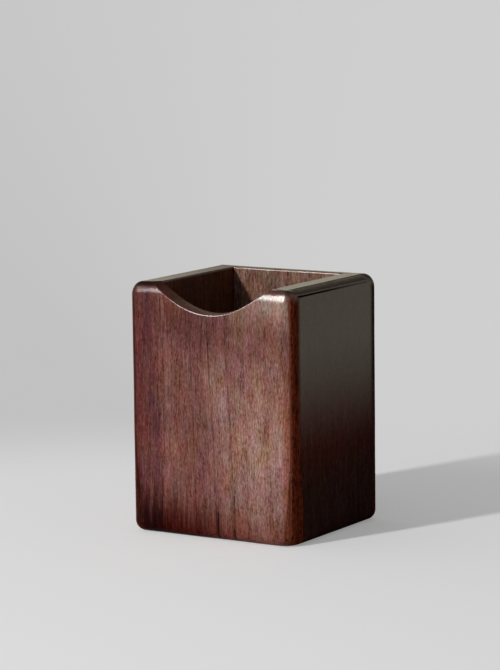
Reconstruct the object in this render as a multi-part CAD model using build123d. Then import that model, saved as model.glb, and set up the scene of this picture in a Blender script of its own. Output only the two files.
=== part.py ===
from build123d import *
import math
import os

# Wooden pen holder: four upright boards mitred into an open box, with a dip in the front rim.
# Millimetres. X runs along the front, Y from front to back, Z up, origin on the desk under the middle.

# Overall sizes: the front and back boards are thinner than the two side boards
width = 75.0
depth = 68.0
height = 100.0
front_wall = 8.0
side_wall = 12.0

# Edges: the round-over of the upright and lower edges, the tighter one of the rim, and light sanding inside
edge_radius = 4.5
rim_radius = 3.6
mouth_ease = 0.8
scoop_ease = 0.6

# Dip in the front rim: an S-shaped curve each side, level at the middle and at both shoulders.
# The two reaches say how far the curve keeps near those levels before it turns.
scoop_depth = 11.1
scoop_overrun = 2.0
scoop_bottom_reach = 15.0
scoop_shoulder_reach = 3.5

# Captive base: a board with a tongue all round, held in a groove near the foot of the walls
base_thickness = 8.0
base_recess = 3.0
tongue_thickness = 4.0
groove_depth = 4.0
groove_clearance = 0.15
base_play = 0.5
base_side_gap = 0.25
base_ease = 0.5

# Splines: hidden loose tongues across the four mitres
spline_thickness = 2.0
spline_reach = 3.0
spline_setback = 4.5
spline_above_groove = 5.0
spline_below_rim = 12.0
glue_gap = 0.05
slot_end_gap = 0.4

# Places that follow from the sizes above
cavity_width = width - 2 * side_wall
cavity_depth = depth - 2 * front_wall
joint_length = math.hypot(front_wall, side_wall)
scoop_half_span = cavity_width / 2 + scoop_overrun
groove_bottom = base_recess + (base_thickness - tongue_thickness) / 2
groove_height = tongue_thickness + groove_clearance
spline_bottom = groove_bottom + groove_height + spline_above_groove
spline_length = height - spline_below_rim - spline_bottom
STAND = (Align.CENTER, Align.CENTER, Align.MIN)


def plain_outline(length):
    """Elevation of a wall with a level top, in the XZ plane."""
    return Plane.XZ * Rectangle(length, height, align=(Align.CENTER, Align.MIN))


def scooped_outline(length):
    """Elevation of the front wall, with the dip in its top edge."""
    low = height - scoop_depth
    half = length / 2
    dip = Bezier(
        (0, low),
        (scoop_bottom_reach, low),
        (scoop_half_span - scoop_shoulder_reach, height),
        (scoop_half_span, height),
    )
    shoulder = Polyline((scoop_half_span, height), (half, height), (half, 0), (0, 0))
    right = dip + shoulder
    return Plane.XZ * make_face(right + mirror(right, Plane.YZ))


def upper_edges(board, plane_y):
    """Edges of the rim on the face of a board that lies at that Y."""
    face = board.faces().filter_by(Axis.Y).sort_by(lambda f: abs(f.center().Y - plane_y))[0]
    return face.edges().filter_by(lambda edge: edge.bounding_box().min.Z > height / 2)


def mitred_board(outline, length, wall, next_wall, outer_ease=None):
    """A wall with its outer face on Y = 0, mitred to the walls beside it and grooved inside."""
    board = extrude(outline, amount=wall, dir=(0, 1, 0))
    board = fillet(upper_edges(board, wall), mouth_ease)
    if outer_ease:
        board = fillet(upper_edges(board, 0), outer_ease)
    half = length / 2
    inner_half = half - next_wall
    plan = Polygon((-half, 0), (half, 0), (inner_half, wall), (-inner_half, wall), align=None)
    mitred = board & extrude(plan, amount=height)
    groove = Box(length, 2 * groove_depth, groove_height, align=STAND)
    return mitred - Pos(0, wall, groove_bottom) * groove


def at_corners(make):
    """One copy of a shape at each mitre, set square across the joint."""
    inset_x = spline_setback * side_wall / joint_length
    inset_y = spline_setback * front_wall / joint_length
    square_turn = math.degrees(math.atan2(side_wall, front_wall))
    placed = {}
    for y_name, y_side in (("front", -1), ("back", 1)):
        for x_name, x_side in (("left", -1), ("right", 1)):
            x = x_side * (cavity_width / 2 + inset_x)
            y = y_side * (cavity_depth / 2 + inset_y)
            turn = -square_turn * x_side * y_side
            placed[f"{y_name}_{x_name}_spline"] = Pos(x, y, 0) * Rot(0, 0, turn) * make()
    return placed


def spline():
    strip = Box(2 * spline_reach, spline_thickness, spline_length, align=STAND)
    return Pos(0, 0, spline_bottom) * strip


def spline_slot():
    slot_length = 2 * (spline_reach + slot_end_gap)
    slot_height = spline_length + 2 * slot_end_gap
    slot = Box(slot_length, spline_thickness + 2 * glue_gap, slot_height, align=STAND)
    return Pos(0, 0, spline_bottom - slot_end_gap) * slot


def base_board():
    """The bottom: a plate that fills the cavity, with a tongue round its edge."""
    plate_width = cavity_width - 2 * base_side_gap
    plate_depth = cavity_depth - 2 * base_side_gap
    plate = Box(plate_width, plate_depth, base_thickness, align=STAND)
    plate = chamfer(plate.faces().filter_by(Axis.Z).edges(), base_ease)
    reach = groove_depth - base_play
    tongue = Box(cavity_width + 2 * reach, cavity_depth + 2 * reach, tongue_thickness, align=STAND)
    return Pos(0, 0, base_recess) * plate + Pos(0, 0, groove_bottom) * tongue


def rounded_block():
    """The outside form of the glued-up box, with every edge rounded over."""
    block = Box(width, depth, height, align=STAND)
    rim = block.faces().sort_by(Axis.Z)[-1]
    lower_edges = block.edges() - rim.edges()
    block = fillet(lower_edges, edge_radius)
    return fillet(block.faces().sort_by(Axis.Z)[-1].edges(), rim_radius)


def walls():
    """The four boards in place, slotted for the splines and rounded over together."""
    front = mitred_board(scooped_outline(width), width, front_wall, side_wall, outer_ease=scoop_ease)
    back = mitred_board(plain_outline(width), width, front_wall, side_wall)
    side = mitred_board(plain_outline(depth), depth, side_wall, front_wall)
    placed = {
        "front_board": Pos(0, -depth / 2, 0) * front,
        "back_board": Pos(0, depth / 2, 0) * Rot(0, 0, 180) * back,
        "left_board": Pos(-width / 2, 0, 0) * Rot(0, 0, -90) * side,
        "right_board": Pos(width / 2, 0, 0) * Rot(0, 0, 90) * side,
    }
    block = rounded_block()
    slots = list(at_corners(spline_slot).values())
    return {name: (board & block) - slots for name, board in placed.items()}


pieces = {**walls(), "base_board": base_board(), **at_corners(spline)}
os.makedirs("parts", exist_ok=True)
for name, piece in pieces.items():
    export_step(piece, f"parts/{name}.step")
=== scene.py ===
# Looks of a wooden pen holder: four mitred boards round an open well, with a dip in the front rim.
from dataclasses import dataclass
import math

import bmesh
import bpy
import numpy as np
from mathutils import Matrix, Vector, noise


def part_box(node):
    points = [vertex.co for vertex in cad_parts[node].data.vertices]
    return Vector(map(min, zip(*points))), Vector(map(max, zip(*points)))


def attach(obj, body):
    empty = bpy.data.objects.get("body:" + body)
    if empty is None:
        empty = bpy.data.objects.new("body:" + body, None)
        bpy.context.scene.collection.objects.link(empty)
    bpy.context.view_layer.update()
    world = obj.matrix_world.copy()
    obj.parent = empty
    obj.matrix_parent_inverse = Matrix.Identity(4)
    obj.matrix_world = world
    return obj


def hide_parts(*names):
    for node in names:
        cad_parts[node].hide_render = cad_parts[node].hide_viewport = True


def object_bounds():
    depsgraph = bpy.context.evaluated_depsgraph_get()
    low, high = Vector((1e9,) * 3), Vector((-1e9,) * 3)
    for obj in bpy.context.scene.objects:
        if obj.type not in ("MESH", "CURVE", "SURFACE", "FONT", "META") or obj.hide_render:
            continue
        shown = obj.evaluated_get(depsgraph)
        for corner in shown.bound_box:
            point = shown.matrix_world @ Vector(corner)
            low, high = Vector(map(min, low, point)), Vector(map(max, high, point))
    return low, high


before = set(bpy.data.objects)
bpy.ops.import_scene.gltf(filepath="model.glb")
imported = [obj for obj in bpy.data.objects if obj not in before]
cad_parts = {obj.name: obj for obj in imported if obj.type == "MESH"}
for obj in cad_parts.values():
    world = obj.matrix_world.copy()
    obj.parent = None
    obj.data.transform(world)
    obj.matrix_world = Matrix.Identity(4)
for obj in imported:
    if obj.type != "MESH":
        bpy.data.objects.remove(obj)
cad_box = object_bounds()

# Sizes below are in millimetres unless a name says otherwise
MM = 0.001
X, Y, Z = range(3)

# Points in the rows of a board's mesh are (along, inset, height)
ALONG = 0
UP = 2

# Keeps divisions clear of nought
TINY = 1e-6


def box_mm(node):
    """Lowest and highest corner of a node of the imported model, in millimetres."""
    return tuple(np.array(corner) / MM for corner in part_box(node))


# Overall sizes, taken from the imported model
LOW, HIGH = (np.array(corner) / MM for corner in cad_box)
WIDTH, DEPTH, HEIGHT = HIGH - LOW
BASE_LOW, BASE_HIGH = box_mm("base_board")


def thickness(node, axis):
    low, high = box_mm(node)
    return high[axis] - low[axis]


FRONT_WALL = thickness("front_board", Y)
SIDE_WALL = thickness("right_board", X)

# Rounded edges. The rim's round-over has a height and a depth, and it is higher and less deep at the corners.
# The rim's colour, on the front partly a painted sheen, sets in while the round-over turns from one angle to
# another, and the inner face's colour, on the front and left boards a painted shade, at the end of the
# mouth's eased edge, the later the higher the power
EDGE_RADIUS = 4.5
FOOT_RADIUS = 4.2
RIM_ROUND = (2.5, 7.2)
CORNER_ROUND = (5.2, 4.4)
SHOULDER_ROUND = (4.2, 5.0)
CORNER_BLEND = 10.0
RIM_TURN = (math.radians(22), math.radians(52))
RIM_EASE = 0.6
MOUTH_EASE = 0.8
MOUTH_POWER = 6
HEEL_EASE = 0.4

# Worn strips of the upright corners, from and to these distances past the start of the rounding.
# The boards wear differently at their two ends. The coat thins out over a wider strip, and next to the mitre
# a narrow lip keeps more of its colour
FACE_WEAR = ((0.6, 2.8), (2.4, 4.4))
SIDE_WEAR = ((-1.6, -0.5), (0.8, 2.8))
COAT_WEAR = (-2.8, -0.2)
LIP_WIDTH = 1.25

# Towards the foot the worn strips spread, and the front right corner has been rubbed rounder
FOOT_SPREAD = 2.6
SPREAD_TOP = 42.0
RUBBED_RADIUS = 8.5
RUBBED_TOP = 34.0

# Dip in the front rim: an S-shaped curve each side, level at the middle and at both shoulders.
# The two reaches say how far the curve keeps near those levels before it turns
DIP_DEPTH = 11.1
DIP_OVERRUN = 2.0
DIP_HALF_SPAN = WIDTH / 2 - SIDE_WALL + DIP_OVERRUN
DIP_BOTTOM_REACH = 15.0
DIP_SHOULDER_REACH = 3.5

# The dip's top is crowned. Its look gives way to the shoulders', and its edge's polish fades out,
# between two distances from the middle of the board
DIP_CROWN = 0.3
DIP_SIDES = (11.0, 20.0)
CREASE_ENDS = (20.0, 24.0)

# Softened face below the front's right shoulder: where along the board it sets in, how far it leans back,
# from how far below the round-over to how far into it, and how polished it is
LEAN_SPAN = (8.0, 28.0)
LEAN_DEPTH = 1.1
LEAN_RUN = (10.0, 3.0)
LEAN_POLISH = 0.8

# Groove that holds the base
TONGUE = 4.0
GROOVE_CLEARANCE = 0.15
BASE_PLAY = 0.5
GROOVE_DEPTH = SIDE_WALL - (HIGH[X] - BASE_HIGH[X]) + BASE_PLAY
GROOVE_BOTTOM = (BASE_LOW[Z] + BASE_HIGH[Z] - TONGUE) / 2
GROOVE_TOP = GROOVE_BOTTOM + TONGUE + GROOVE_CLEARANCE

# Fineness of the boards' meshes. Their columns fan out to the mitres from a little before the inner corners.
# The cut of the rim's round-over by its top is found in a few passes
FAN_START = 1.5
CORNER_COLUMNS = 12
FACE_SPACING = 0.9
FACE_ROWS = 56
ARC_ROWS = 9
UPPER_REACH = 9.0
UPPER_ROWS = 16
EASE_ROWS = 6
TOP_ROWS = 8
INNER_ROWS = 24
BOTTOM_ROWS = 4
CURVE_STEPS = 81
CUT_PASSES = 4

# Marks on the points of a board: those that only its polish needs, and those that its material reads
POLISH_MARKS = ("edge", "crease", "mouth", "bared")
WOOD_MARKS = ("corner", "lip", "rim", "inside")

# Hand finish: gentle waves in the sanded faces, and the hairline where two boards meet
WAVE_LENGTH = 17.0
WAVE_HEIGHT = 0.06
JOINT_WIDTH = 0.16
JOINT_DEPTH = 0.07
SHARP_ANGLE = math.radians(42)

# Camera of the photograph, for a frame of 500 by 670 pixels
FRAME_PX = (500, 670)
FOCAL_PX = 2976.7
CAMERA_AZIMUTH = math.radians(31.742)
CAMERA_ELEVATION = math.radians(8.199)
CAMERA_ROLL = math.radians(-0.670)
AIM_POINT = Vector((0, 0, HEIGHT / 2))
AIM_PX = (255.24, 401.41)
AIM_DEPTH = 1187.8
SENSOR = 36.0
FAR_CLIP = 40000.0
CAMERA_LEVEL = Vector((math.cos(CAMERA_AZIMUTH), math.sin(CAMERA_AZIMUTH), 0))


def smooth(low, high, value):
    """A smooth step from 0 at low to 1 at high."""
    share = np.clip((value - low) / (high - low), 0, 1)
    return share * share * (3 - 2 * share)


def arch(share):
    """A curve that is 0 at both ends and 1 in the middle."""
    return 4 * share * (1 - share)


def dip_curve():
    """Half of the dip in the front rim, as places along the board and heights."""
    share = np.linspace(0, 1, CURVE_STEPS)[:, None]
    bottom = HEIGHT - DIP_DEPTH
    start = np.array((0, bottom))
    start_pull = np.array((DIP_BOTTOM_REACH, bottom))
    end_pull = np.array((DIP_HALF_SPAN - DIP_SHOULDER_REACH, HEIGHT))
    end = np.array((DIP_HALF_SPAN, HEIGHT))
    rest = 1 - share
    return (
        rest**3 * start
        + 3 * rest**2 * share * start_pull
        + 3 * rest * share**2 * end_pull
        + share**3 * end
    ).T


DIP_ALONG, DIP_HEIGHT = dip_curve()


def dipped_top(along):
    """Height of the front board's rim."""
    return np.interp(np.abs(along), DIP_ALONG, DIP_HEIGHT)


def level_top(along):
    return np.full_like(along, HEIGHT)


def blend_round(first, second, share):
    """Height and depth of a round-over that goes from one form to another."""
    return tuple(a + (b - a) * share for a, b in zip(first, second))


def level_round(along, half, middle=RIM_ROUND):
    """Round-over of a rim, which changes its form towards the corners."""
    corner = smooth(half - CORNER_BLEND, half - EDGE_RADIUS / 2, np.abs(along))
    return blend_round(middle, CORNER_ROUND, corner)


def shoulder_round(along, half):
    """Round-over of the front rim, which the dip is cut through."""
    return level_round(along, half, SHOULDER_ROUND)


def dip_share(along):
    """1 within the dip and 0 on the shoulders."""
    return 1 - smooth(*DIP_SIDES, np.abs(along))


def dip_crown(along):
    """How far the middle of the dip's edge stands above its sides."""
    return DIP_CROWN * dip_share(along)


def shoulder_lean(along):
    """How much the face is softened below the rim."""
    return smooth(*LEAN_SPAN, along)


def nothing(along):
    return 0 * along


class Outline:
    """Lines round a board, seen from above: each is set in from the outside and ends on the two mitres."""

    def __init__(self, length, wall, next_wall, wear):
        self.half = length / 2
        self.flat = self.half - EDGE_RADIUS
        self.slant = next_wall / wall
        self.straight = self.half - next_wall - FAN_START
        flat_columns = np.linspace(0, self.flat, round(self.flat / FACE_SPACING) + 1)
        corner_columns = np.linspace(self.flat, self.reach(np.zeros(1))[0], CORNER_COLUMNS)[1:]
        places = np.concatenate([flat_columns, corner_columns])
        self.places = np.concatenate([places[:0:-1], places])
        self.end = np.concatenate([-np.ones(len(places) - 1), np.ones(len(places))])
        self.wear = wear
        self.bared = smooth(*COAT_WEAR, self.places - self.flat)
        self.lip = smooth(-LIP_WIDTH, 0, self.places - self.places.max())

    def worn(self, height):
        """How worn the columns are at a height."""
        spread = FOOT_SPREAD * (1 - smooth(0, SPREAD_TOP, height))
        first, last = (smooth(*strip, self.places - self.flat + spread) for strip in self.wear)
        return np.where(self.end < 0, first, last)

    def travel(self, reach):
        """Distances of the columns from the middle of the board, on a line of that reach."""
        past = np.maximum(self.places - self.straight, 0)
        fan = (reach - self.straight) / (self.places.max() - self.straight)
        return np.minimum(self.places, self.straight) + past * fan

    def reach(self, inset):
        """Length of such a line from the middle of the board to a mitre."""
        radius = np.maximum(EDGE_RADIUS - inset, TINY)
        lean = math.atan2(1, self.slant)
        meeting = EDGE_RADIUS * (self.slant - 1) / (radius * math.hypot(1, self.slant))
        turn = np.arccos(np.clip(meeting, -1, 1)) - lean
        on_face = self.half - self.slant * inset
        on_corner = self.flat + radius * turn
        past_corner = self.flat + radius * math.pi / 2 + inset / self.slant - EDGE_RADIUS
        ends_past = np.where(turn > math.pi / 2, past_corner, on_corner)
        return np.where(self.slant * inset >= EDGE_RADIUS, on_face, ends_past)

    def outer(self, inset, height):
        """A row set in from the outside, which follows the rounded corners."""
        inset = inset + 0 * self.places
        radius = np.maximum(EDGE_RADIUS - inset, TINY)
        travel = self.travel(self.reach(inset))
        turn = np.clip((travel - self.flat) / radius, 0, math.pi / 2)
        past = np.maximum(travel - self.flat - radius * math.pi / 2, 0)
        along = np.minimum(travel, self.flat) + radius * np.sin(turn)
        across = EDGE_RADIUS - radius * np.cos(turn) + past
        return np.stack([self.end * along, across, height + 0 * along], 1)

    def inner(self, inset, height):
        """A straight row on the inside, cut short by the mitres."""
        along = self.end * self.travel(self.half - self.slant * inset)
        return np.stack([along, inset + 0 * along, height + 0 * along], 1)


def quarter_turn(rows):
    """Angles of the rows of a rounded edge."""
    return np.radians(np.linspace(0, 90, rows))


def between(start, end, rows):
    """Points between two lines of points, without the lines themselves."""
    return [start + share * (end - start) for share in np.linspace(0, 1, rows + 2)[1:-1]]


class Rim:
    """A board's top edge: the face turns over into the round-over, which the level or dipped top cuts off."""

    def __init__(self, line, top_at, round_at, lean_at):
        self.line = line
        along = line.outer(0, 0)[:, ALONG]
        self.lean = lean_at(along)
        self.height, self.depth = round_at(along, line.half)
        self.start = HEIGHT - self.height
        self.turns = quarter_turn(CURVE_STEPS)
        inset = self.depth * (1 - np.cos(self.turns[:, None]))
        rise = self.height * np.sin(self.turns[:, None])
        steps = np.hypot(np.diff(inset, axis=0), np.diff(rise, axis=0))
        self.travel = np.vstack([np.zeros_like(along), np.cumsum(steps, axis=0)])
        inset = 0
        for _ in range(CUT_PASSES):
            top = top_at(line.outer(inset, 0)[:, ALONG])
            turn = np.arcsin(np.clip((top - self.start) / self.height, 0, 1))
            inset = self.depth * (1 - np.cos(turn))
        over = [np.interp(at, self.turns, distances) for at, distances in zip(turn, self.travel.T)]
        self.cut = np.minimum(top, self.start) + np.array(over)

    def turn_at(self, distance):
        """How far the surface has turned over, at a distance up the face and round its edge."""
        over = distance - self.start
        return np.array([np.interp(at, distances, self.turns) for at, distances in zip(over, self.travel.T)])

    def lean_at(self, distance):
        """How far the softened face has leaned back, as a share of its whole lean."""
        before, after = LEAN_RUN
        return self.lean * smooth(self.start - before, self.start + after, distance)

    def row(self, distance):
        """Points at a distance up the face, round its edge and over the top."""
        up = np.minimum(distance, self.cut)
        turn = self.turn_at(up)
        inset = self.depth * (1 - np.cos(turn)) + np.maximum(distance - self.cut, 0)
        inset = inset + LEAN_DEPTH * self.lean_at(up)
        return self.line.outer(inset, np.minimum(up, self.start) + self.height * np.sin(turn))


class Section:
    """Rows of points round a board's section, with marks for its polish and its material."""

    def __init__(self, line):
        self.line = line
        self.rows = []
        self.marks = {name: [] for name in POLISH_MARKS + WOOD_MARKS}

    def put(self, rows, edge=0.0, crease=0.0, mouth=0.0, rim=0.0, inside=0.0):
        """Adds rows, with how rounded or creased they are and their share of the rim and the inner face."""
        values = {
            "edge": edge,
            "crease": crease,
            "mouth": mouth,
            "bared": self.line.bared,
            "lip": self.line.lip,
            "rim": rim,
            "inside": inside,
        }
        for row in rows:
            self.rows.append(row)
            self.marks["corner"].append(self.line.worn(row[:, UP]) * (1 - inside))
            for name, value in values.items():
                self.marks[name].append(value + 0 * row[:, UP])


def add_foot(section):
    """The rounded outside edge of the foot."""
    for angle in quarter_turn(ARC_ROWS):
        inset = FOOT_RADIUS * (1 - math.sin(angle))
        section.put([section.line.outer(inset, FOOT_RADIUS * (1 - math.cos(angle)))])


def add_face(section, rim):
    """The outer face and the round-over above it, up to the eased edge of the top."""
    eased = rim.cut - RIM_EASE
    foot_line = FOOT_RADIUS + 0 * eased
    face = between(foot_line, eased - UPPER_REACH, FACE_ROWS)
    upper = [eased - UPPER_REACH * (1 - share) for share in np.linspace(0, 1, UPPER_ROWS)]
    for distance in face + upper:
        turn = rim.turn_at(distance)
        edge = np.maximum(np.sin(2 * turn), LEAN_POLISH * rim.lean_at(distance) * np.cos(turn))
        section.put([rim.row(distance)], edge=edge, rim=smooth(*RIM_TURN, turn))


def add_eased_edge(section, rim):
    """The eased edge where the top cuts the round-over off. Gives its last row."""
    before, crease, after = (rim.row(rim.cut + step) for step in (-RIM_EASE, 0, RIM_EASE))
    flatness = smooth(*RIM_TURN, rim.turn_at(rim.cut))
    for share in np.linspace(0, 1, EASE_ROWS + 1)[1:]:
        rest = 1 - share
        row = rest**2 * before + 2 * rest * share * crease + share**2 * after
        bend = arch(share) * (1 - flatness)
        section.put([row], crease=bend, rim=flatness + (1 - flatness) * share)
    return after


def mouth_row(line, wall, top_at, angle):
    """A row on the eased edge of the mouth, by how far the edge has turned over."""
    row = line.inner(wall - MOUTH_EASE * (1 - math.sin(angle)), 0)
    row[:, UP] = top_at(row[:, ALONG]) - MOUTH_EASE * (1 - math.cos(angle))
    return row


def add_top(section, outer_edge, wall, top_at, crown_at):
    """The top, from its outer edge to the eased edge of the mouth. Gives the last row of the mouth."""
    angles = quarter_turn(ARC_ROWS)
    mouth_rows = [mouth_row(section.line, wall, top_at, angle) for angle in angles]
    top_rows = between(outer_edge, mouth_rows[0], TOP_ROWS)
    for row, share in zip(top_rows, np.linspace(0, 1, TOP_ROWS + 2)[1:-1]):
        row[:, UP] = top_at(row[:, ALONG]) + crown_at(row[:, ALONG]) * arch(share)
    section.put(top_rows, rim=1.0)
    for row, angle in zip(mouth_rows, angles):
        inside = math.sin(angle) ** MOUTH_POWER
        section.put([row], mouth=math.sin(2 * angle), rim=math.cos(angle), inside=inside)
    return mouth_rows[-1]


def add_inside(section, mouth_end, wall):
    """The inner face with the groove for the base, and the underside."""
    line = section.line
    groove = wall - GROOVE_DEPTH
    inner_foot = line.inner(wall, GROOVE_TOP)
    heel = line.inner(wall - HEEL_EASE, 0)
    section.put(between(mouth_end, inner_foot, INNER_ROWS), inside=1.0)
    section.put([inner_foot, line.inner(groove, GROOVE_TOP)], inside=1.0)
    section.put([line.inner(groove, GROOVE_BOTTOM), line.inner(wall, GROOVE_BOTTOM)], inside=1.0)
    section.put([line.inner(wall, HEEL_EASE), heel], inside=1.0)
    section.put(between(heel, line.outer(FOOT_RADIUS, 0), BOTTOM_ROWS))


def board_section(length, wall, next_wall, wear, top_at, round_at, crown_at, lean_at):
    """The section of a board, from the outside of its foot over the rim to the underside."""
    line = Outline(length, wall, next_wall, wear)
    section = Section(line)
    rim = Rim(line, top_at, round_at, lean_at)
    add_foot(section)
    add_face(section, rim)
    outer_edge = add_eased_edge(section, rim)
    mouth_end = add_top(section, outer_edge, wall, top_at, crown_at)
    shown_rows = len(section.rows)
    add_inside(section, mouth_end, wall)
    return section, shown_rows


def narrow_joint(grid):
    """Brings the last column but one of each end close to the mitre, or half way where the mesh is finer."""
    for last, near, far in ((0, 1, 2), (-1, -2, -3)):
        step = grid[:, far] - grid[:, last]
        reach = np.linalg.norm(step, axis=1, keepdims=True)
        grid[:, near] = grid[:, last] + step * np.minimum(JOINT_WIDTH / reach, 1 / 2)


def grid_normals(grid):
    """Outward direction at each point of a board's grid."""
    round_section = np.roll(grid, -1, axis=0) - np.roll(grid, 1, axis=0)
    along = np.gradient(grid, axis=1)
    normal = np.cross(along, round_section)
    return normal / np.linalg.norm(normal, axis=2, keepdims=True)


def wave(point):
    """Height of the hand-sanded surface at a point."""
    return WAVE_HEIGHT * noise.noise(Vector(point) / WAVE_LENGTH)


def to_world(grid, side):
    """Turns (along, inset, height) into places round the box for one of its four sides."""
    along, inset, height = np.moveaxis(grid, 2, 0)
    x, y = {
        "front": (along, inset - DEPTH / 2),
        "back": (-along, DEPTH / 2 - inset),
        "left": (inset - WIDTH / 2, -along),
        "right": (WIDTH / 2 - inset, along),
    }[side]
    return np.stack([x, y, height], 2)


def rub_corner(world):
    """Rounds the front right corner more towards the foot: its outline there becomes a wider arc."""
    x, y, height = np.moveaxis(world, 2, 0)
    right = np.maximum(x - (WIDTH / 2 - RUBBED_RADIUS), 0)
    front = np.maximum(-y - (DEPTH / 2 - RUBBED_RADIUS), 0)
    core = RUBBED_RADIUS - EDGE_RADIUS
    past_core = np.hypot(right - core, front - core)
    in_round = np.minimum(right, front) > core
    arc = np.where(in_round, core + past_core, np.maximum(right, front))
    away = np.maximum(np.hypot(right, front), TINY)
    share = 1 - smooth(0, RUBBED_TOP, height)
    draw = share * (arc / away - 1) * (np.minimum(right, front) > 0)
    world[:, :, X] = x + right * draw
    world[:, :, Y] = y - front * draw


@dataclass
class Polish:
    """Weight of the clear coat on the parts of a board. Pairs run from one end of it to the other, and fade
    says between which heights the coat of the face sets in."""

    face: float
    round_over: tuple
    rim: tuple
    inside: float
    mouth: float = 0.9
    dip: float = 0.0
    dipped: bool = False
    fade: tuple = None

    def weights(self, marks, grid):
        along, _, height = np.moveaxis(grid, 2, 0)
        weight = self.face * (1 - marks["bared"])
        if self.fade:
            weight = weight * smooth(*self.fade, height)
        ends = (along.min(), along.max())
        rim = np.interp(along, ends, self.rim)
        rim = rim + (self.dip - rim) * dip_share(along) * self.dipped
        weight = weight + (rim - weight) * marks["rim"]
        weight = weight + (np.interp(along, ends, self.round_over) - weight) * marks["edge"]
        crease = marks["crease"] * (1 - smooth(*CREASE_ENDS, np.abs(along)))
        weight = weight + (self.dip - weight) * crease
        weight = weight + (self.mouth - weight) * marks["mouth"]
        return weight + (self.inside - weight) * marks["inside"]


def board_points(grid, side, shown_rows):
    """Places of a board's points, with the sanded waves, the hairline joints and the rubbed corner."""
    world = to_world(grid, side)
    lift = np.apply_along_axis(wave, 2, world)
    lift[shown_rows:] = 0
    lift[:shown_rows, [0, -1]] -= JOINT_DEPTH
    world += grid_normals(world) * lift[:, :, None]
    world[:, :, Z] = np.maximum(world[:, :, Z], 0)
    rub_corner(world)
    return world


def closed_mesh(name, world):
    """A mesh whose rows run round a board's section, with its ends closed at the mitres."""
    rows, columns = world.shape[:2]
    index = np.arange(rows * columns).reshape(rows, columns)
    following = np.roll(index, -1, axis=0)
    quads = np.stack([index[:, :-1], index[:, 1:], following[:, 1:], following[:, :-1]], 2)
    caps = [index[:, 0].tolist(), index[::-1, -1].tolist()]
    mesh = bpy.data.meshes.new(name)
    mesh.from_pydata((world * MM).reshape(-1, 3).tolist(), [], quads.reshape(-1, 4).tolist() + caps)
    return mesh


def add_marks(mesh, section, grid, polish):
    """Writes what the material reads on the points of a board."""
    marks = {label: np.array(values) for label, values in section.marks.items()}
    kept = {label: marks[label] for label in WOOD_MARKS}
    kept["polish"] = polish.weights(marks, grid)
    kept["seam"] = np.zeros_like(marks["rim"])
    kept["seam"][:, [0, -1]] = 1
    for label, values in kept.items():
        mesh.attributes.new(label, "FLOAT", "POINT").data.foreach_set("value", values.ravel())


def face_outwards(mesh):
    shell = bmesh.new()
    shell.from_mesh(mesh)
    bmesh.ops.recalc_face_normals(shell, faces=shell.faces)
    shell.to_mesh(mesh)
    shell.free()


def board_mesh(name, side, form, polish):
    """A closed mesh of one board, with its rounded edges, groove, mitres and hairline joints."""
    if side in ("front", "back"):
        sizes = (WIDTH, FRONT_WALL, SIDE_WALL, FACE_WEAR)
    else:
        sizes = (DEPTH, SIDE_WALL, FRONT_WALL, SIDE_WEAR)
    section, shown_rows = board_section(*sizes, *form)
    grid = np.array(section.rows)
    narrow_joint(grid)
    mesh = closed_mesh(name, board_points(grid, side, shown_rows))
    add_marks(mesh, section, grid, polish)
    face_outwards(mesh)
    mesh.shade_smooth()
    mesh.set_sharp_from_angle(angle=SHARP_ANGLE)
    return mesh


# Places of the colours among the sockets of the Mix node
MIX_COLOURS = (6, 7)
MIX_RESULT = 2


class Nodes:
    """Short ways to add shader nodes to a material or world and to join them."""

    def __init__(self, owner):
        owner.use_nodes = True
        self.tree = owner.node_tree
        self.tree.nodes.clear()

    def add(self, kind, inputs=None, **settings):
        node = self.tree.nodes.new("ShaderNode" + kind)
        for name, value in settings.items():
            setattr(node, name, value)
        for key, value in (inputs or {}).items():
            if isinstance(value, bpy.types.NodeSocket):
                self.tree.links.new(value, node.inputs[key])
            else:
                node.inputs[key].default_value = value
        return node

    def math(self, operation, first, second=0.0):
        return self.add("Math", {0: first, 1: second}, operation=operation).outputs[0]

    def total(self, first, *others):
        for other in others:
            first = self.math("ADD", first, other)
        return first

    def product(self, first, *others):
        for other in others:
            first = self.math("MULTIPLY", first, other)
        return first

    def swing(self, value, size):
        """A pattern's distance from its average, times a size."""
        return self.product(self.math("SUBTRACT", value, AVERAGE), size)

    def rest(self, share):
        """What a share leaves of 1."""
        return self.math("SUBTRACT", 1.0, share)

    def sweep(self, value, start, end, low=0.0, high=1.0):
        """A smooth change from low to high while the value goes from start to end."""
        inputs = {"Value": value, "From Min": start, "From Max": end, "To Min": low, "To Max": high}
        return self.add("MapRange", inputs, interpolation_type="SMOOTHSTEP").outputs[0]

    def mix(self, share, first, second, blend="MIX"):
        """Colours mixed by a share."""
        inputs = {0: share, MIX_COLOURS[0]: first, MIX_COLOURS[1]: second}
        return self.add("Mix", inputs, data_type="RGBA", blend_type=blend).outputs[MIX_RESULT]

    def tinted(self, share, colour, tint):
        """A colour that is multiplied by a tint, to a share."""
        return self.mix(share, colour, tint, "MULTIPLY")

    def vector(self, operation, first, second):
        return self.add("VectorMath", {0: first, 1: second}, operation=operation)

    def dot(self, first, second):
        return self.vector("DOT_PRODUCT", first, second).outputs["Value"]

    def noise(self, place, detail, roughness):
        inputs = {"Vector": place, "Scale": 1.0, "Detail": detail, "Roughness": roughness}
        return self.add("TexNoise", inputs).outputs[0]

    def attribute(self, name):
        return self.add("Attribute", attribute_name=name).outputs["Fac"]

    def finish(self, shader, kind="Material"):
        output = self.add("Output" + kind)
        self.tree.links.new(shader, output.inputs["Surface"])


def rgb(red, green, blue):
    return (red, green, blue, 1.0)


def grey(tone):
    return rgb(tone, tone, tone)


@dataclass
class Pattern:
    """Noise drawn out along the fibres: its width across them, its length along them and how fine it goes."""

    width: float
    length: float
    detail: float
    roughness: float = 0.55


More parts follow.
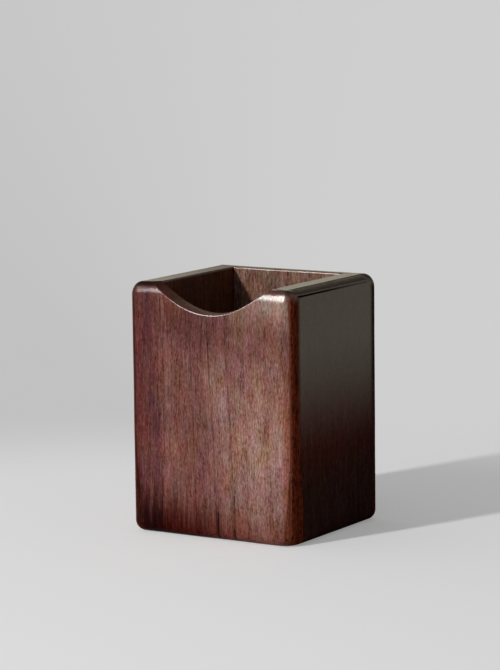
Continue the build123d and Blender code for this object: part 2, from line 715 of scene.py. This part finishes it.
# Grain: patterns from fine to broad. Their values lie about an average, from nought to one
AVERAGE = 0.5
HAIR = Pattern(0.22, 2.4, 2.0)
PORE = Pattern(0.24, 3.0, 1.0)
FIBRE = Pattern(0.4, 7.0, 3.0)
CURL = Pattern(0.55, 1.4, 2.0)
BUNDLE = Pattern(1.3, 18.0, 2.0)
MOTTLE = Pattern(3.0, 6.0, 3.0)
BLUSH = Pattern(4.5, 9.0, 4.0, roughness=0.65)
CLOUD = Pattern(6.0, 12.0, 2.0)
SWAY = Pattern(16.0, 60.0, 1.0)
SWAY_REACH = 3.2
PORE_RANGE = (0.62, 0.74)
BAND_WIDTH = 5.0
BAND_DETAIL = 3.0
BAND_LEAN = 0.035
SEED_STEP = (53.1, 31.7, 17.3)

# Shares of the patterns in the figure of the wood, and in its relief and roughness
FIGURE_SHARES = {"hair": 0.5, "curl": 0.5, "fibre": 0.4, "bundle": 0.28, "band": 0.2, "mottle": 0.25}
RELIEF_SHARES = {"curl": 0.6, "fibre": 0.5, "bundle": 0.8, "pore": -0.8}
RELIEF_DEPTH = 0.07
RELIEF_STRENGTH = 0.5
ROUGH_RANGE = (0.3, 0.7)
ROUGHNESS = (0.40, 0.52)
PORE_ROUGHNESS = 0.12

# Ranges of the figure over which deep wood turns to middle and then to pale, and of the patterns that drift
# between two tints
DEEP_RANGE = (0.32, 0.52)
PALE_RANGE = (0.50, 0.72)
DRIFT_RANGE = (0.35, 0.65)

# Streaks sway with the grain, wander, and come and go with the mottle. Patches have ragged soft edges
STREAK_SWAY = 0.4
STREAK_WANDER = 1.5
STREAK_RANGE = (0.4, 0.58)
STREAK_LEVELS = (0.15, 1.0)
PATCH_RAGGED = 0.5
PATCH_RANGE = (0.1, 1.0)

# Worn corners: tones of their figure, their ragged border, and the border of the lip beside the mitre
WORN_RANGE = (0.35, 0.68)
WORN_TONES = (0.35, 2.0)
CORNER_RAGGED = 8.0
CORNER_RANGE = (0.25, 0.75)
LIP_RAGGED = 1.4
LIP_RANGE = (0.25, 0.85)

# Places across a board: where the colours of its first end give way, and where the line under a rim fades
END_SPAN = (-28.0, -21.0)
LINE_FADE = (-15.0, 25.0)
LINE_LEVELS = (1.0, 0.4)
LINE_WIDTH = 0.5

# Tints multiply the wood's own colour. Pores and seams take only a share of theirs
PORE_SHARE = 0.25
SEAM_SHARE = 0.4
PORE_TINT = rgb(0.48, 0.34, 0.33)
SEAM_TINT = rgb(0.25, 0.20, 0.20)
WARM_TINT = rgb(1.05, 1.00, 0.90)
COOL_TINT = rgb(0.97, 1.00, 1.10)
RED_TINT = rgb(1.045, 0.93, 1.01)
GREEN_TINT = rgb(0.955, 1.07, 0.99)
PURPLE = rgb(0.50, 0.40, 0.62)
DARK_LINE = rgb(0.45, 0.36, 0.38)
CRACK = rgb(0.16, 0.10, 0.12)

# Colours of the worn corners
DARK_EDGE = rgb(0.035, 0.006, 0.003)
RED_EDGE = rgb(0.084, 0.0155, 0.006)
LIP = rgb(0.180, 0.050, 0.029)
BROWN_EDGE = rgb(0.115, 0.031, 0.014)
HIDDEN_EDGE = rgb(0.080, 0.027, 0.016)


@dataclass
class Streak:
    """A line in the grain, by its places across the board at the top and the foot. It may end part way up."""

    at_top: float
    at_foot: float
    width: float
    strength: float
    tint: tuple
    upper_end: float = 2 * HEIGHT


@dataclass
class Patch:
    """A soft-edged zone of another tint, by its middle and half sizes across and up."""

    across: float
    height: float
    half_across: float
    half_height: float
    tint: tuple


@dataclass
class Wood:
    """Look of one board: its colours and the marks in its grain. Pairs are for its two ends."""

    across: str
    seed: int
    tones: tuple
    edges: tuple
    rims: tuple
    inside: tuple
    streaks: tuple = ()
    patches: tuple = ()
    lip: tuple = HIDDEN_EDGE
    rim_line: float = None
    bare_gloss: float = 0.03
    coat_roughness: float = 0.12


class Grain:
    """Noise patterns that run along the fibres of one board."""

    def __init__(self, n, wood):
        self.n = n
        coordinates = n.add("TexCoord").outputs["Object"]
        place = n.vector("DIVIDE", coordinates, (MM, MM, MM)).outputs[0]
        parts = n.add("SeparateXYZ", {0: place}).outputs
        self.across = parts[wood.across]
        self.height = parts["Z"]
        offset = tuple(wood.seed * step for step in SEED_STEP)
        self.moved = n.vector("ADD", place, offset).outputs[0]
        self.sway = n.swing(self.noise(SWAY), SWAY_REACH)
        self.hair = self.noise(HAIR)
        self.curl = self.noise(CURL)
        self.fibre = self.noise(FIBRE)
        self.bundle = self.noise(BUNDLE)
        self.mottle = self.noise(MOTTLE)
        self.cloud = self.noise(CLOUD)
        self.blush = self.noise(BLUSH)
        self.pore = n.sweep(self.noise(PORE), *PORE_RANGE)
        self.band = self.bands()
        self.figure = self.together()

    def noise(self, pattern):
        scale = (1 / pattern.width, 1 / pattern.width, 1 / pattern.length)
        drawn_out = self.n.vector("MULTIPLY", self.moved, scale).outputs[0]
        return self.n.noise(drawn_out, pattern.detail, pattern.roughness)

    def bands(self):
        """Broad upright bands, which lean and sway a little."""
        n = self.n
        track = n.total(self.across, n.product(self.height, BAND_LEAN), self.sway)
        inputs = {"W": n.product(track, 1 / BAND_WIDTH), "Scale": 1.0, "Detail": BAND_DETAIL}
        return n.add("TexNoise", inputs, noise_dimensions="1D").outputs[0]

    def by_end(self, first, last):
        """One colour at the board's first end and another over the rest of it."""
        return self.n.mix(self.n.sweep(self.across, *END_SPAN), first, last)

    def together(self):
        """The patterns of the wood's figure added up, about the same average."""
        swings = [self.n.swing(getattr(self, name), share) for name, share in FIGURE_SHARES.items()]
        return self.n.total(AVERAGE, *swings)

    def relief(self):
        """Height of the fibres, with the pores sunk in."""
        heights = [self.n.product(getattr(self, name), share) for name, share in RELIEF_SHARES.items()]
        return self.n.total(*heights)

    def streak_share(self, streak):
        n = self.n
        middle_line = n.sweep(self.height, 0.0, HEIGHT, streak.at_foot, streak.at_top)
        wander = n.swing(self.bundle, STREAK_WANDER)
        place = n.total(self.across, n.product(self.sway, STREAK_SWAY), wander)
        away = n.math("ABSOLUTE", n.math("SUBTRACT", place, middle_line))
        broken = n.sweep(self.mottle, *STREAK_RANGE, *STREAK_LEVELS)
        below_end = n.sweep(self.height, streak.upper_end / 2, streak.upper_end, 1.0, 0.0)
        return n.product(n.sweep(away, 0.0, streak.width, 1.0, 0.0), broken, below_end, streak.strength)

    def line_share(self, height):
        """A dark level line under the rim."""
        n = self.n
        away = n.math("ABSOLUTE", n.math("SUBTRACT", self.height, height))
        outside = n.rest(n.math("MAXIMUM", n.attribute("inside"), n.attribute("corner")))
        faded = n.sweep(self.across, *LINE_FADE, *LINE_LEVELS)
        return n.product(n.sweep(away, LINE_WIDTH / 2, LINE_WIDTH, 1.0, 0.0), outside, faded)

    def patch_share(self, patch):
        n = self.n
        right = n.product(n.math("SUBTRACT", self.across, patch.across), 1 / patch.half_across)
        up = n.product(n.math("SUBTRACT", self.height, patch.height), 1 / patch.half_height)
        away = n.math("SQRT", n.total(n.product(right, right), n.product(up, up)))
        ragged = n.total(away, n.swing(self.bundle, PATCH_RAGGED))
        return n.sweep(ragged, *PATCH_RANGE, 1.0, 0.0)


def plain_colour(n, grain, wood):
    """Colour of a board's faces, from its figure, its drifts of tint, its patches, some of which are a
    painted sheen, and the marks in its grain.
    """
    deep, middle, pale = wood.tones
    colour = n.mix(n.sweep(grain.figure, *DEEP_RANGE), deep, middle)
    colour = n.mix(n.sweep(grain.figure, *PALE_RANGE), colour, pale)
    for pattern, tints in ((grain.cloud, (WARM_TINT, COOL_TINT)), (grain.blush, (RED_TINT, GREEN_TINT))):
        drift = n.mix(n.sweep(pattern, *DRIFT_RANGE), *tints)
        colour = n.tinted(1.0, colour, drift)
    outside = n.rest(n.math("MAXIMUM", n.attribute("inside"), n.attribute("rim")))
    for patch in wood.patches:
        colour = n.tinted(n.product(grain.patch_share(patch), outside), colour, patch.tint)
    for streak in wood.streaks:
        colour = n.tinted(n.product(grain.streak_share(streak), outside), colour, streak.tint)
    return colour


def worn_colour(n, grain, wood):
    """Colour of a board's worn corners, with the lip beside the mitre."""
    shading = n.mix(n.sweep(grain.figure, *WORN_RANGE), *(grey(tone) for tone in WORN_TONES))
    worn = n.tinted(1.0, grain.by_end(*wood.edges), shading)
    lip = n.total(n.attribute("lip"), n.swing(grain.curl, LIP_RAGGED))
    return n.mix(n.sweep(lip, *LIP_RANGE), worn, wood.lip)


def corner_share(n, grain):
    """Where a corner is worn, with a ragged border."""
    corner = n.attribute("corner")
    ragged = n.product(corner, n.rest(corner), n.swing(grain.curl, CORNER_RAGGED))
    return n.sweep(n.total(corner, ragged), *CORNER_RANGE)


def wood_colour(n, grain, wood):
    """Colour of a whole board: its faces, rim, worn corners, inner face, pores and seams."""
    rim = n.attribute("rim")
    colour = n.tinted(rim, plain_colour(n, grain, wood), grain.by_end(*wood.rims))
    worn_share = n.product(corner_share(n, grain), n.rest(rim))
    colour = n.mix(worn_share, colour, worn_colour(n, grain, wood))
    # The inner face takes its tint; on the front and left boards this is a painted shade
    colour = n.tinted(n.attribute("inside"), colour, wood.inside)
    colour = n.tinted(n.product(grain.pore, PORE_SHARE), colour, PORE_TINT)
    return n.tinted(n.product(n.attribute("seam"), SEAM_SHARE), colour, SEAM_TINT)


def wood_material(name, wood):
    """Dark polished wood with upright grain."""
    material = bpy.data.materials.new(name)
    n = Nodes(material)
    grain = Grain(n, wood)
    fibre_roughness = n.sweep(grain.fibre, *ROUGH_RANGE, *ROUGHNESS)
    roughness = n.total(fibre_roughness, n.product(grain.pore, PORE_ROUGHNESS))
    relief = {"Height": grain.relief(), "Strength": RELIEF_STRENGTH, "Distance": RELIEF_DEPTH * MM}
    bump = n.add("Bump", relief).outputs[0]
    colour = wood_colour(n, grain, wood)
    coat = n.attribute("polish")
    if wood.rim_line:
        line = grain.line_share(wood.rim_line)
        colour = n.tinted(line, colour, SEAM_TINT)
        coat = n.product(coat, n.rest(line))
    shader = n.add("BsdfPrincipled", {
        "Base Color": colour,
        "Roughness": roughness,
        "Normal": bump,
        "Coat Weight": coat,
        "Coat Normal": bump,
    })
    shader.inputs["Specular IOR Level"].default_value = wood.bare_gloss
    shader.inputs["Coat Roughness"].default_value = wood.coat_roughness
    n.finish(shader.outputs[0])
    return material


# Powers by which the red, green and blue of a wood follow the depth of its tone
GREYING = (1.0, 1.35, 1.5)


def tones(middle, deep=0.55, pale=1.5):
    """Deep, middle and pale colour of a wood, by its middle colour. Pale fibres are greyer than deep ones."""
    return tuple(
        rgb(*(part * share**power for part, power in zip(middle, GREYING)))
        for share in (deep, 1.0, pale)
    )


RED_WOOD = tones((0.175, 0.066, 0.053), deep=0.42, pale=1.65)
# Painted shade: the red wood darkened several times over, for the right board, the side away from the light
SHADED_SIDE_WOOD = tones((0.034, 0.0150, 0.0115))
INNER_WOOD = tones((0.205, 0.103, 0.072), deep=0.35, pale=1.8)
PLAIN = rgb(1.0, 1.0, 1.0)
# Painted shade: a darker tint for the inner faces of the front and left boards, which lie in shade
SHADED_INSIDE = rgb(0.70, 0.65, 0.45)
FRONT_WOOD = Wood(
    across="X",
    seed=1,
    tones=RED_WOOD,
    edges=(DARK_EDGE, BROWN_EDGE),
    lip=BROWN_EDGE,
    # Rim tints: dark at the left end, and over the rest darker than the face and greyed, partly as a painted
    # sheen on the dip's band and the right shoulder's top
    rims=(rgb(0.13, 0.07, 0.045), rgb(0.57, 0.49, 0.40)),
    inside=SHADED_INSIDE,
    streaks=(
        Streak(-28.5, -23.5, 3.0, 0.8, PURPLE),
        Streak(-9.2, -6.6, 0.6, 0.8, DARK_LINE),
        Streak(-1.0, 2.7, 0.7, 0.9, DARK_LINE),
        Streak(7.3, 10.5, 0.7, 0.9, DARK_LINE),
        Streak(1.5, 3.5, 0.55, 2.2, CRACK, upper_end=18.0),
        Streak(9.5, 11.0, 0.45, 1.8, CRACK, upper_end=24.0),
        Streak(-8.0, -5.8, 0.5, 1.2, CRACK, upper_end=14.0),
    ),
    patches=(
        # The dark left side, and the pale grey zones to the right of it, partly the wood's tone and partly a
        # painted sheen of the light on the face
        Patch(-36, 50, 19, 400, rgb(0.66, 0.47, 0.55)),
        Patch(23, 39, 31, 52, rgb(1.8, 2.5, 2.45)),
        Patch(2, 60, 10, 18, rgb(1.28, 1.5, 1.5)),
        # Under the dip and the right shoulder, where the pale grey zones are a painted sheen below the
        # shoulder's highlight
        Patch(-4, 84, 26, 13, rgb(0.70, 0.62, 0.64)),
        Patch(-17, 88, 11, 9, rgb(0.75, 0.62, 0.52)),
        Patch(28, 96, 26, 17, rgb(1.45, 2.1, 1.85)),
        Patch(12, 85, 9, 12, rgb(1.15, 1.4, 1.4)),
        Patch(20, 74, 7, 8, rgb(0.80, 0.72, 0.74)),
        # The lower left and the foot
        Patch(-20, 32, 14, 14, rgb(1.25, 1.28, 1.22)),
        Patch(37, 5, 9, 13, rgb(0.80, 0.60, 0.42)),
        Patch(-22, 0, 46, 23, rgb(0.28, 0.09, 0.07)),
        Patch(-12, 0, 62, 16, rgb(0.80, 0.48, 0.38)),
        Patch(-40, 2, 32, 26, rgb(0.28, 0.14, 0.13)),
        # The strips beside the worn corners
        Patch(36, 34, 5, 60, rgb(1.0, 0.72, 0.56)),
        Patch(-37, 40, 4, 24, rgb(1.6, 1.2, 0.85)),
    ),
    bare_gloss=0.02,
    coat_roughness=0.26,
)
HIDDEN_EDGES = (HIDDEN_EDGE, HIDDEN_EDGE)
PLAIN_RIMS = (PLAIN, PLAIN)
DARK_RIM = grey(0.6)
GREY_RIM = rgb(0.30, 0.34, 0.34)
BACK_WOOD = Wood("X", 2, INNER_WOOD, HIDDEN_EDGES, rims=(DARK_RIM, DARK_RIM), inside=PLAIN)
LEFT_WOOD = Wood("Y", 3, RED_WOOD, HIDDEN_EDGES, rims=(GREY_RIM, GREY_RIM), inside=SHADED_INSIDE)
RIGHT_WOOD = Wood(
    across="Y",
    seed=4,
    # Painted shade: darkened wood for this side, which faces away from the light
    tones=SHADED_SIDE_WOOD,
    edges=(RED_EDGE, RED_EDGE),
    rims=PLAIN_RIMS,
    inside=PLAIN,
    patches=(
        Patch(-30, 74, 9, 50, rgb(1.5, 1.45, 1.4)),
        Patch(-12, 44, 70, 28, rgb(1.9, 1.08, 1.0)),
    ),
    lip=LIP,
    rim_line=HEIGHT - RIM_ROUND[0],
    bare_gloss=0.0,
)
BASE_WOOD = Wood("X", 5, RED_WOOD, HIDDEN_EDGES, rims=PLAIN_RIMS, inside=PLAIN)
SPLINE_WOOD = Wood("X", 6, INNER_WOOD, HIDDEN_EDGES, rims=PLAIN_RIMS, inside=PLAIN)

# Polish of the boards
FRONT_POLISH = Polish(
    face=0.08,
    round_over=(0.30, 1.0),
    rim=(0.1, 0.9),
    inside=0.1,
    mouth=0.1,
    dip=1.0,
    dipped=True,
    fade=(2.0, 40.0),
)
BACK_POLISH = Polish(face=0.5, round_over=(0.9, 0.9), rim=(0.6, 0.6), inside=0.15)
LEFT_POLISH = Polish(face=0.5, round_over=(0.9, 0.9), rim=(0.4, 0.85), inside=0.1)
RIGHT_POLISH = Polish(face=0.85, round_over=(0.9, 0.9), rim=(0.9, 0.9), inside=0.1, fade=(33.0, 82.0))


def add_piece(name, mesh, material):
    piece = bpy.data.objects.new(name + "_shaped", mesh)
    bpy.context.scene.collection.objects.link(piece)
    mesh.materials.append(material)
    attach(piece, "root")
    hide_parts(name)


def add_boards():
    dipped = (dipped_top, shoulder_round, dip_crown, shoulder_lean)
    level = (level_top, level_round, nothing, nothing)
    boards = (
        ("front", dipped, FRONT_POLISH, FRONT_WOOD),
        ("back", level, BACK_POLISH, BACK_WOOD),
        ("left", level, LEFT_POLISH, LEFT_WOOD),
        ("right", level, RIGHT_POLISH, RIGHT_WOOD),
    )
    for side, form, polish, wood in boards:
        mesh = board_mesh(side + "_board", side, form, polish)
        add_piece(side + "_board", mesh, wood_material(side + "_wood", wood))


def dress_hidden_nodes():
    """Finishes for the base and the splines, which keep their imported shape."""
    base = wood_material("base_wood", BASE_WOOD)
    spline = wood_material("spline_wood", SPLINE_WOOD)
    for name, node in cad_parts.items():
        if name == "base_board" or name.endswith("spline"):
            is_base = name == "base_board"
            node.data.materials.clear()
            node.data.materials.append(base if is_base else spline)


def add_camera():
    """The photograph's view of the object."""
    back = Vector((
        math.sin(CAMERA_AZIMUTH) * math.cos(CAMERA_ELEVATION),
        -math.cos(CAMERA_AZIMUTH) * math.cos(CAMERA_ELEVATION),
        math.sin(CAMERA_ELEVATION),
    ))
    upright = back.cross(CAMERA_LEVEL)
    right = CAMERA_LEVEL * math.cos(CAMERA_ROLL) + upright * math.sin(CAMERA_ROLL)
    up = upright * math.cos(CAMERA_ROLL) - CAMERA_LEVEL * math.sin(CAMERA_ROLL)
    across = (AIM_PX[0] - FRAME_PX[0] / 2) / FOCAL_PX
    down = (AIM_PX[1] - FRAME_PX[1] / 2) / FOCAL_PX
    place = AIM_POINT + (back - across * right + down * up) * AIM_DEPTH
    data = bpy.data.cameras.new("camera")
    data.sensor_width = SENSOR
    data.lens = FOCAL_PX / max(FRAME_PX) * SENSOR
    data.clip_end = FAR_CLIP * MM
    camera = bpy.data.objects.new("camera", data)
    camera.matrix_world = Matrix.Translation(place * MM) @ Matrix((right, up, back)).transposed().to_4x4()
    bpy.context.scene.collection.objects.link(camera)
    bpy.context.scene.camera = camera


# Key light: small and rather low, from the front left. Its level is the light on a surface that faces it
KEY_AZIMUTH = math.radians(20.0)
KEY_ELEVATION = math.radians(29.0)
LIGHT_DISTANCE = 2200.0
KEY_SIZE = (110.0, 150.0)
KEY_LEVEL = 2.0

# Sheen panel: seen only in the polish, as a tall soft shape to the left of the key light
SHEEN_AZIMUTH = math.radians(36.0)
SHEEN_ELEVATION = math.radians(33.0)
SHEEN_SIZE = (600.0, 1700.0)
SHEEN_LEVEL = 34.0

# Surroundings: soft light mostly from the upper left
FILL_DIRECTION = (-0.62, -0.48, 0.62)
FILL_TURN = (-0.6, 1.0)
FILL_LEVELS = (0.03, 0.35)

# What the polish mirrors: warm, pale low down, dark above except at the right, and darker at the front right
MIRROR_TINT = rgb(1.0, 0.92, 0.74)
PALE_TO_DARK = (0.20, 0.34)
DARK_ENDS = (0.12, 0.30)
UPPER_TONE = 0.12
DARK_SIDE = (0.52, -0.85, 0.0)
DARK_SIDE_TURN = (0.2, 0.9)
DARK_SIDE_TONE = 0.25

# Paper backdrop: one sheet, lit round the object, with an even tone further off, painted a little darker
# towards its left as a painted shade
PAPER_TONE = 0.8
SEEN_PAPER_TONE = 0.73
PAPER_GLOW = 0.25
BACKDROP_TONES = (0.535, 0.625)
BACKDROP_TURN = (-0.24, 0.10)
BACKDROP_RIGHT = (0.85, 0.53, 0.0)
LIT_MIDDLE = (50.0, -110.0, 0.0)
LIT_FADE = (230.0, 410.0)
PAPER_REACH = 20000.0


def add_panel(name, azimuth, elevation, size, power):
    """A flat light that faces the object, from the left of its front."""
    data = bpy.data.lights.new(name, "AREA")
    data.shape = "RECTANGLE"
    data.size, data.size_y = (side * MM for side in size)
    data.energy = power
    away = Vector((
        -math.sin(azimuth) * math.cos(elevation),
        -math.cos(azimuth) * math.cos(elevation),
        math.sin(elevation),
    ))
    panel = bpy.data.objects.new(name, data)
    panel.rotation_euler = away.to_track_quat("Z", "Y").to_euler()
    panel.location = away * LIGHT_DISTANCE * MM
    bpy.context.scene.collection.objects.link(panel)
    return panel


def add_lights():
    key_power = KEY_LEVEL * math.pi * (LIGHT_DISTANCE * MM) ** 2
    add_panel("key", KEY_AZIMUTH, KEY_ELEVATION, KEY_SIZE, key_power)
    sheen_power = SHEEN_LEVEL * math.pi * SHEEN_SIZE[0] * SHEEN_SIZE[1] * MM**2
    sheen = add_panel("sheen", SHEEN_AZIMUTH, SHEEN_ELEVATION, SHEEN_SIZE, sheen_power)
    sheen.visible_diffuse = False


def backdrop_tone(n, direction):
    """Tone of the far backdrop, a little darker towards its left: a painted shade."""
    sideways = n.dot(direction, BACKDROP_RIGHT)
    return n.sweep(sideways, *BACKDROP_TURN, *BACKDROP_TONES)


def add_world():
    world = bpy.data.worlds.new("surroundings")
    bpy.context.scene.world = world
    n = Nodes(world)
    direction = n.add("TexCoord").outputs["Generated"]
    path = n.add("LightPath").outputs
    seen = n.math("MAXIMUM", path["Is Camera Ray"], path["Is Transmission Ray"])
    mirrored = path["Is Glossy Ray"]
    lighting = n.rest(n.math("MAXIMUM", seen, mirrored))
    tone = backdrop_tone(n, direction)
    fill = n.sweep(n.dot(direction, FILL_DIRECTION), *FILL_TURN, *FILL_LEVELS)
    parts = n.add("SeparateXYZ", {0: direction}).outputs
    upper = n.product(n.sweep(parts["Z"], *PALE_TO_DARK), n.sweep(parts["X"], *DARK_ENDS, 1.0, 0.0))
    dark_side = n.sweep(n.dot(direction, DARK_SIDE), *DARK_SIDE_TURN, 1.0, DARK_SIDE_TONE)
    low_tone = n.product(tone, dark_side)
    mirror_tone = n.total(n.product(low_tone, n.rest(upper)), n.product(upper, UPPER_TONE))
    levels = ((seen, tone), (mirrored, mirror_tone), (lighting, fill))
    strength = n.total(*(n.product(share, level) for share, level in levels))
    colour = n.mix(mirrored, PLAIN, MIRROR_TINT)
    shader = n.add("Background", {"Color": colour, "Strength": strength})
    n.finish(shader.outputs[0], "World")


def paper_material():
    """Pale paper: lit near the object, and an even tone further off with painted shade towards its left."""
    material = bpy.data.materials.new("paper")
    n = Nodes(material)
    place = n.add("NewGeometry").outputs["Position"]
    middle = tuple(part * MM for part in LIT_MIDDLE)
    away = n.vector("DISTANCE", place, middle).outputs["Value"]
    far = n.sweep(away, LIT_FADE[0] * MM, LIT_FADE[1] * MM)
    direction = n.add("VectorMath", {0: place}, operation="NORMALIZE").outputs[0]
    path = n.add("LightPath").outputs
    seen = n.math("MAXIMUM", path["Is Camera Ray"], path["Is Glossy Ray"])
    bounce = n.add("BsdfDiffuse", {"Color": grey(PAPER_TONE)})
    shaded = n.add("BsdfDiffuse", {"Color": grey(SEEN_PAPER_TONE)})
    glow = n.add("Emission", {"Strength": PAPER_GLOW})
    shown = n.add("AddShader", {0: shaded.outputs[0], 1: glow.outputs[0]})
    near = n.add("MixShader", {0: seen, 1: bounce.outputs[0], 2: shown.outputs[0]})
    far_colour = n.mix(path["Is Glossy Ray"], PLAIN, MIRROR_TINT)
    even = n.add("Emission", {"Color": far_colour, "Strength": backdrop_tone(n, direction)})
    both = n.add("MixShader", {0: far, 1: near.outputs[0], 2: even.outputs[0]})
    n.finish(both.outputs[0])
    return material


def add_floor():
    reach = PAPER_REACH * MM
    mesh = bpy.data.meshes.new("floor")
    corners = [(-reach, -reach, 0), (reach, -reach, 0), (reach, reach, 0), (-reach, reach, 0)]
    mesh.from_pydata(corners, [], [(0, 1, 2, 3)])
    mesh.materials.append(paper_material())
    floor = bpy.data.objects.new("floor", mesh)
    bpy.context.scene.collection.objects.link(floor)


add_boards()
dress_hidden_nodes()
add_camera()
add_lights()
add_world()
add_floor()
bpy.context.scene.view_settings.view_transform = "Standard"
